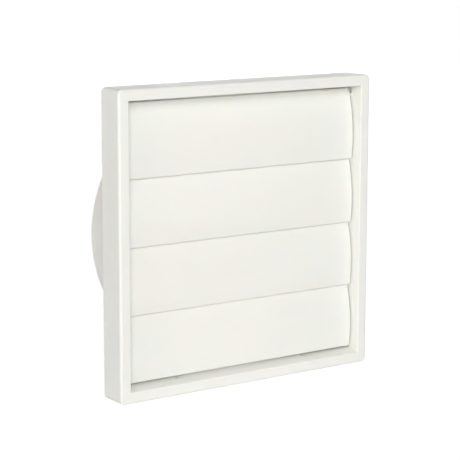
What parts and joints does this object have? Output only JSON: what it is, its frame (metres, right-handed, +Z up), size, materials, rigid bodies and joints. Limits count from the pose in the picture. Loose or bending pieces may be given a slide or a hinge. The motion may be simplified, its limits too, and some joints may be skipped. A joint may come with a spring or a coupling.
{
  "type": "gravity vent grille",
  "caption": "Square white plastic outlet grille with a round duct collar behind and curved hinged flaps that open with the air flow and fall shut under gravity.",
  "frame": {"origin": "on the duct collar's axis, in the wall plane at the back of the frame", "axes": "+Y along the collar into the wall, +X to the right seen from the front, +Z up"},
  "size_m": [0.17, 0.0483, 0.17],
  "materials": {
    "frame_plastic": "satin",
    "flap_plastic": "satin"
  },
  "bodies": {
    "frame": {"frame": "frame_plastic"},
    "flap_1": {"flap_1": "flap_plastic"},
    "flap_2": {"flap_2": "flap_plastic"},
    "flap_3": {"flap_3": "flap_plastic"},
    "flap_4": {"flap_4": "flap_plastic"}
  },
  "joints": [
    {"name": "flap_1_hinge", "type": "hinge", "parent": "frame", "child": "flap_1", "pos_m": [0, -0.00745, 0.07265], "axis": [-1, 0, 0], "range_deg": [0, 70]},
    {"name": "flap_2_hinge", "type": "hinge", "parent": "frame", "child": "flap_2", "pos_m": [0, -0.00745, 0.0354], "axis": [-1, 0, 0], "range_deg": [0, 70]},
    {"name": "flap_3_hinge", "type": "hinge", "parent": "frame", "child": "flap_3", "pos_m": [0, -0.00745, -0.00185], "axis": [-1, 0, 0], "range_deg": [0, 70]},
    {"name": "flap_4_hinge", "type": "hinge", "parent": "frame", "child": "flap_4", "pos_m": [0, -0.00745, -0.0391], "axis": [-1, 0, 0], "range_deg": [0, 70]}
  ]
}
